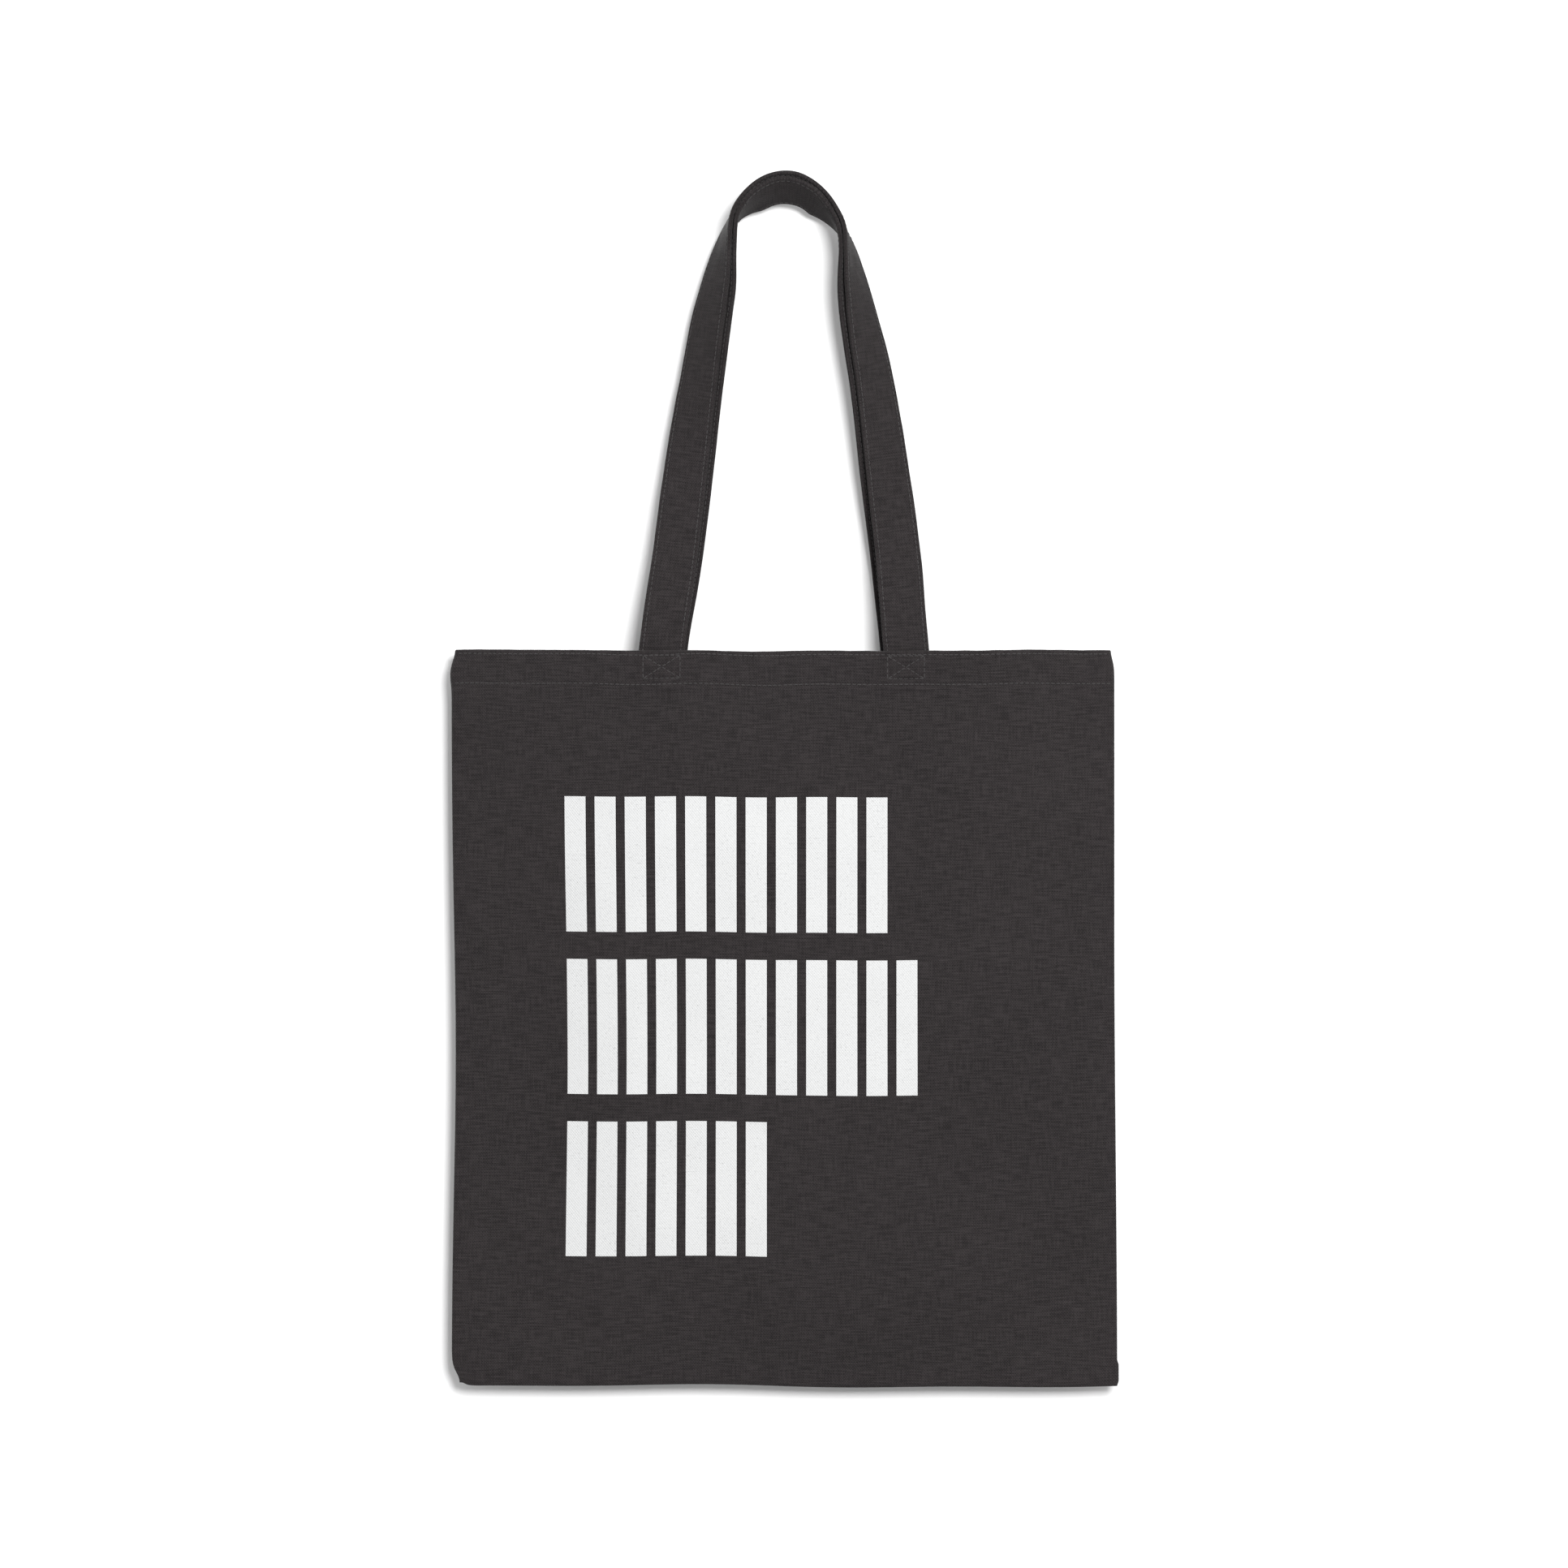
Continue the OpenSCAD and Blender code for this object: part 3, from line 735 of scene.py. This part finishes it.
def thread_material(name, dark, light):
    """Twisted sewing thread: fine slanting plies, with painted shade in the grooves between them."""
    n = Nodes(name)
    flat = n.flat()
    split = n.add("ShaderNodeSeparateXYZ", {0: flat})
    slant = n.math("MULTIPLY_ADD", split.outputs[1], 2.2, split.outputs[0])
    ply = n.math("SINE", n.math("MULTIPLY", slant, 2 * math.pi / (0.5 * MM)))
    ply = n.ramp(ply, -1.0, 1.0)
    # Painted shade: the grooves between the plies are coloured dark and their ridges light.
    colour = n.blend(ply, dark, light)
    n.put(n.shader, "Base Color", colour)
    n.put(n.shader, "Roughness", 0.7)
    n.put(n.shader, "Sheen Weight", 0.15)
    n.bump(ply, 0.00008, 0.8)
    return n.material


# The dark and light ends of the canvas colour, mixed by random yarn tone and by painted shade in the
# weave's low spots.
CANVAS_DARK = (0.0040, 0.0032, 0.0034, 1)
CANVAS_LIGHT = (0.0408, 0.0349, 0.0359, 1)
CANVAS = canvas_material("charcoal_canvas", CANVAS_DARK, CANVAS_LIGHT)
STRAP_CANVAS = canvas_material("strap_canvas", CANVAS_DARK, CANVAS_LIGHT, 0.7)
# The thread's dark colour is painted shade in the ply grooves, its light colour the ply ridges.
THREAD = thread_material("sewing_thread", (0.015, 0.0128, 0.0132, 1), (0.036, 0.031, 0.032, 1))
INK = ink_material("white_ink", (0.625, 0.630, 0.630, 1), (0.05, 0.046, 0.046, 1))


def finish_piece(piece, body, material, slot, *nodes):
    """Gives a piece its material and body, and hides the CAD nodes that it stands for. The slot is not
    used.
    """
    piece.data.materials.append(material)
    if body is not None:
        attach(piece, body)
    if nodes:
        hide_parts(*nodes)
    return piece


# ---------------------------------------------------------------- the camera and the light

CAMERA_DISTANCE = 2.5
VIEW_W = 0.896
VIEW_RISE = 0.344

camera_data = bpy.data.cameras.new("camera")
camera_data.sensor_width = 36
camera_data.lens = 36 * CAMERA_DISTANCE / VIEW_W
camera = bpy.data.objects.new("camera", camera_data)
camera.location = (0.0, -CAMERA_DISTANCE, BOTTOM_Z + VIEW_RISE)
camera.rotation_euler = (math.pi / 2, 0, 0)
bpy.context.scene.collection.objects.link(camera)
bpy.context.scene.camera = camera
bpy.context.scene.view_settings.view_transform = "Standard"


def lamp(name, place, size, power):
    """A square white lamp that points at the middle of the bag."""
    data = bpy.data.lights.new(name, "AREA")
    data.shape = "SQUARE"
    data.size = size
    data.energy = power
    light = bpy.data.objects.new(name, data)
    light.location = place
    way = np.array((0, 0, MIDDLE_Z)) - np.array(place)
    light.rotation_euler = (
        math.atan2(math.hypot(way[0], way[1]), -way[2]),
        0,
        math.atan2(way[1], way[0]) - math.pi / 2,
    )
    bpy.context.scene.collection.objects.link(light)


MIDDLE_Z = (BOTTOM_Z + RIM_Z) / 2
lamp("key", (0.50, -2.4, MIDDLE_Z + 0.65), size=0.6, power=58)
lamp("back_fill", (-0.6, 2.2, MIDDLE_Z + 1.2), size=1.2, power=46)

# The world's light from below and from above, and how steep a direction counts as either
WORLD_LOW = 0.26
WORLD_HIGH = 0.94
WORLD_STEEP = 0.7


def studio_world():
    """White light that is strong from above and weak from below, and plain white to look at."""
    world = bpy.data.worlds.new("studio")
    world.use_nodes = True
    tree = world.node_tree
    background = tree.nodes["Background"]
    background.inputs["Color"].default_value = (1, 1, 1, 1)
    direction = tree.nodes.new("ShaderNodeTexCoord")
    split = tree.nodes.new("ShaderNodeSeparateXYZ")
    ramp = tree.nodes.new("ShaderNodeMapRange")
    for socket, value in ((1, -WORLD_STEEP), (2, WORLD_STEEP), (3, WORLD_LOW), (4, WORLD_HIGH)):
        ramp.inputs[socket].default_value = value
    seen = tree.nodes.new("ShaderNodeMix")
    seen.inputs[3].default_value = 1.0
    tree.links.new(direction.outputs["Generated"], split.inputs[0])
    tree.links.new(split.outputs["Z"], ramp.inputs[0])
    tree.links.new(tree.nodes.new("ShaderNodeLightPath").outputs["Is Camera Ray"], seen.inputs[0])
    tree.links.new(ramp.outputs[0], seen.inputs[2])
    tree.links.new(seen.outputs[0], background.inputs["Strength"])
    bpy.context.scene.world = world


studio_world()


def paper_material():
    """White paper that shows its face to the front and lets light and the eye through from behind."""
    n = Nodes("white_paper")
    n.put(n.shader, "Base Color", (0.95, 0.95, 0.95, 1))
    n.put(n.shader, "Roughness", 0.9)
    grain = n.noise(n.add("ShaderNodeTexCoord").outputs["Object"], 90.0, 2.0)
    n.bump(grain, 0.0002, 0.2)
    facing = n.add("ShaderNodeNewGeometry").outputs["Backfacing"]
    light_path = n.add("ShaderNodeLightPath")
    passing = n.math("MAXIMUM", light_path.outputs["Is Shadow Ray"], light_path.outputs["Is Diffuse Ray"])
    clear = n.add("ShaderNodeBsdfTransparent")
    mixer = n.add("ShaderNodeMixShader", {0: n.math("MAXIMUM", facing, passing)})
    n.tree.links.new(n.shader.outputs[0], mixer.inputs[1])
    n.tree.links.new(clear.outputs[0], mixer.inputs[2])
    n.tree.links.new(mixer.outputs[0], n.tree.nodes["Material Output"].inputs[0])
    return n.material


def plane(name, corners, material):
    piece = new_mesh(name, corners, [(0, 1, 2, 3)], smooth_faces=False)
    piece.data.materials.append(material)


PAPER = paper_material()
WALL_Y = 0.0205
WALL_HALF = 6
plane("wall", [(-WALL_HALF, WALL_Y, -WALL_HALF), (WALL_HALF, WALL_Y, -WALL_HALF),
               (WALL_HALF, WALL_Y, WALL_HALF), (-WALL_HALF, WALL_Y, WALL_HALF)], PAPER)
FLOOR_Z = BOTTOM_Z - 0.35
FLOOR_HALF = 15
plane("floor", [(-FLOOR_HALF, -FLOOR_HALF, FLOOR_Z), (FLOOR_HALF, -FLOOR_HALF, FLOOR_Z),
                (FLOOR_HALF, FLOOR_HALF, FLOOR_Z), (-FLOOR_HALF, FLOOR_HALF, FLOOR_Z)], PAPER)

# ---------------------------------------------------------------- the bag's cloth

SIDES = {FRONT: "front", BACK: "back"}
settled_depths = drape_depths()
panels = {
    FRONT: Panel(FRONT, 11, settled_depths[FRONT]),
    BACK: Panel(BACK, 23, settled_depths[BACK]),
}

for side, word in SIDES.items():
    cloth = panel_mesh(f"{word}_cloth", panels[side])
    finish_piece(cloth, "bag", CANVAS, "canvas", f"{word}_panel")

# ---------------------------------------------------------------- the handles

for side, word in SIDES.items():
    frames = strap_frames(panels[side], side)
    strap, strap_length = strap_mesh(f"{word}_strap", frames, 41 + side)
    finish_piece(strap, None, STRAP_CANVAS, "strap_canvas", f"{word}_handle_strap",
                 f"{word}_left_handle_end", f"{word}_right_handle_end")
    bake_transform(strap)
    for edge, edge_word in ((1, "inner"), (-1, "outer")):
        rows = strap_rows(frames, edge)
        row = stitches(f"{word}_strap_{edge_word}_stitches", rows)
        finish_piece(row, None, THREAD, "thread", f"{word}_handle_{edge_word}_stitching")
        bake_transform(row)

# ---------------------------------------------------------------- rows of stitches

for side, word in SIDES.items():
    panel = panels[side]
    for row_word, drop in (("hem", HEM_ROW), ("rim", RIM_ROW)):
        x = np.linspace(-HALF_W + 2.5 * MM, HALF_W - 2.5 * MM, 260)
        z = np.full(len(x), BAG_H - drop)
        z = z + 0.25 * MM * waves(x, 0 * x, 60 * MM, 61 + side)
        rows = [panel.at(x, z)]
        clear = LEG_X + STRAP_W / 2 + 1 * MM
        between = clear - STRAP_W - 2 * MM
        for low, high in ((-HALF_W + SEAM_W, -clear), (-between, between), (clear, HALF_W - SEAM_W)):
            x_in = np.linspace(low, high, 80)
            rows.append(hem_inner(panel, x_in, np.full(len(x_in), BAG_H - drop)))
        row = stitches(f"{word}_{row_word}_stitches", rows)
        finish_piece(row, "bag", THREAD, "thread", f"{word}_{row_word}_stitching")
    for sign, sign_word in ((-1, "left"), (1, "right")):
        low = BAG_H - BOX_DROP - BOX_H
        spots = [np.array([sign * panel.leg_x + a * BOX_W / 2, low + b * BOX_H])
                 for a, b in ((-1, 0), (1, 0), (1, 1), (-1, 1))]
        rows = []
        for a, b in ((0, 1), (1, 2), (2, 3), (3, 0), (0, 2), (1, 3)):
            line = np.linspace(spots[a], spots[b], 24)
            rows.append(panel.at(line[:, 0], line[:, 1]))
            rows.append(hem_inner(panel, line[:, 0], line[:, 1], STRAP_T + 1.0 * MM))
        row = stitches(f"{word}_{sign_word}_box_stitches", rows)
        finish_piece(row, "bag", THREAD, "thread", f"{word}_{sign_word}_box_stitching")

# ---------------------------------------------------------------- the seams inside

def shell(x, z, y_near, y_far):
    """Points, faces and flat places of a closed sheet along the seams, between two depths."""
    dx, dz = outline_shift(x, z)
    high, wide = x.shape
    near = np.stack([x + dx, y_near, BOTTOM_Z + z + dz], axis=-1)
    far = np.stack([x + dx, y_far, BOTTOM_Z + z + dz], axis=-1)
    points = np.concatenate([near.reshape(-1, 3), far.reshape(-1, 3)])
    flat = np.tile(np.stack([x, z], axis=-1).reshape(-1, 2), (2, 1))
    return points, shell_faces(high, wide), flat


def shell_faces(high, wide):
    """Faces of two grids of points, the second behind the first, joined round their border."""
    size = high * wide
    faces = []
    for j in range(high - 1):
        for i in range(wide - 1):
            a = j * wide + i
            faces.append((a, a + 1, a + wide + 1, a + wide))
            faces.append((size + a, size + a + wide, size + a + wide + 1, size + a + 1))
    border = [(0, i) for i in range(wide)] + [(j, wide - 1) for j in range(1, high)]
    border += [(high - 1, i) for i in range(wide - 2, -1, -1)] + [(j, 0) for j in range(high - 2, 0, -1)]
    index = [j * wide + i for j, i in border]
    for a, b in zip(index, index[1:] + index[:1]):
        faces.append((b, a, size + a, size + b))
    return faces


def joined(parts):
    """One list of points, faces and flat places from several."""
    points, faces, flat = [], [], []
    count = 0
    for part_points, part_faces, part_flat in parts:
        points.append(part_points)
        flat.append(part_flat)
        faces += [tuple(count + corner for corner in face) for face in part_faces]
        count += len(part_points)
    return np.concatenate(points), faces, np.concatenate(flat)


ALLOWANCE_IN = 2.6 * MM
SIDE_Z = np.linspace(SEAM_W, BAG_H - HEM_H, 90)
SEAM_STRIPS = {
    "left": (np.linspace(-HALF_W + ALLOWANCE_IN, -HALF_W + SEAM_W, 6), SIDE_Z),
    "right": (np.linspace(HALF_W - SEAM_W, HALF_W - ALLOWANCE_IN, 6), SIDE_Z),
    "bottom": (np.linspace(-HALF_W + SEAM_W, HALF_W - SEAM_W, 90), np.linspace(ALLOWANCE_IN, SEAM_W, 6)),
}


def allowance_mesh(side):
    """The three strips of one panel's cloth that are turned in along its seams."""
    strips = []
    for xs, zs in SEAM_STRIPS.values():
        x, z = np.meshgrid(xs, zs)
        near = side * (0.06 * MM + 0 * x)
        far = side * (0.06 * MM + CANVAS_T * 0.9 + 0 * x)
        strips.append(shell(x, z, *((far, near) if side == FRONT else (near, far))))
    points, faces, flat = joined(strips)
    return new_mesh(f"{SIDES[side]}_allowances", points, faces, flat)


def winding(start, end, inward):
    """The path of an overlock thread wound round a raw edge from start to end."""
    length = np.linalg.norm(end - start)
    turns = int(length / (2.6 * MM))
    t = np.linspace(0, 1, turns * 10 + 1)
    angle = 2 * math.pi * turns * t
    reach = 1.6 * MM * (0.72 - np.cos(angle))
    flat = start + (end - start) * t[:, None] - inward * reach[:, None]
    depth = 1.0 * MM * np.sin(angle)
    dx, dz = outline_shift(flat[:, 0], flat[:, 1])
    return np.stack([flat[:, 0] + dx, depth, BOTTOM_Z + flat[:, 1] + dz], axis=-1)


def tube_mesh(name, path, radius):
    """A thin round thread along a path."""
    along = unit(np.gradient(path, axis=0))
    side = unit(np.cross(along, np.array([0.31, 0.47, 0.83])))
    up = np.cross(along, side)
    angles = np.arange(5) * 2 * math.pi / 5
    rings = path[:, None, :] + radius * (
        side[:, None, :] * np.cos(angles)[None, :, None] + up[:, None, :] * np.sin(angles)[None, :, None]
    )
    flat = np.zeros(rings.shape[:2] + (2,))
    flat[..., 0] = angles * radius
    flat[..., 1] = np.cumsum(np.full(len(path), 0.8 * MM))[:, None]
    return sweep_mesh(name, rings, flat)


def seam_row(x, z):
    dx, dz = outline_shift(x, z)
    points = np.stack([x + dx, 0 * x, BOTTOM_Z + z + dz], axis=-1)
    return points, np.tile([0.0, -1.0, 0.0], (len(x), 1))


EDGE_X = HALF_W - SEAM_W
SEAM_LINES = {
    "left": (np.array([-EDGE_X, SEAM_W]), np.array([-EDGE_X, BAG_H - HEM_H]), np.array([1.0, 0.0])),
    "right": (np.array([EDGE_X, SEAM_W]), np.array([EDGE_X, BAG_H - HEM_H]), np.array([-1.0, 0.0])),
    "bottom": (np.array([-EDGE_X, SEAM_W]), np.array([EDGE_X, SEAM_W]), np.array([0.0, 1.0])),
}

for side, word in SIDES.items():
    strips = finish_piece(allowance_mesh(side), "bag", CANVAS, "canvas")
for word, (start, end, inward) in SEAM_LINES.items():
    thread = tube_mesh(f"{word}_overlock", winding(start, end, inward), 0.22 * MM)
    finish_piece(thread, "bag", THREAD, "thread", f"{word}_overlock_thread")
    outward = inward * (1.2 * MM - SEAM_W)
    t = np.linspace(0, 1, 200)[:, None]
    line = mix(start + outward, end + outward, t)
    row = stitches(f"{word}_seam_stitches", [seam_row(line[:, 0], line[:, 1])])
    finish_piece(row, "bag", THREAD, "thread", f"{word}_seam_stitching")

# ---------------------------------------------------------------- the print

ROW_BARS = (11, 12, 7)
BAR_W = 12 * MM
BAR_GAP = 5.2 * MM
BAR_H = 77 * MM
ROW_PITCH = 92.6 * MM
PRINT_TOP = BAG_H - 83 * MM
PRINT_LEFT = -HALF_W + 65 * MM
INK_UNDER = 0.04 * MM
INK_TOP = 0.14 * MM


def print_mesh(panel):
    """Thin slabs of ink, three rows of upright bars."""
    bars = []
    for row, count in enumerate(ROW_BARS):
        top = PRINT_TOP - row * ROW_PITCH
        for bar in range(count):
            left = PRINT_LEFT + bar * (BAR_W + BAR_GAP)
            x, z = np.meshgrid(np.linspace(left, left + BAR_W, 9), np.linspace(top - BAR_H, top, 40))
            skins = [panel.at(x, z, np.full(x.shape, out))[0] for out in (INK_TOP, INK_UNDER)]
            flat = np.tile(np.stack([x, z], axis=-1).reshape(-1, 2), (2, 1))
            bars.append((np.concatenate(skins).reshape(-1, 3), shell_faces(*x.shape), flat))
    points, faces, flat = joined(bars)
    return new_mesh("front_bars", points, faces, flat, smooth_faces=False)


finish_piece(print_mesh(panels[FRONT]), "bag", INK, "print_ink", "front_print")
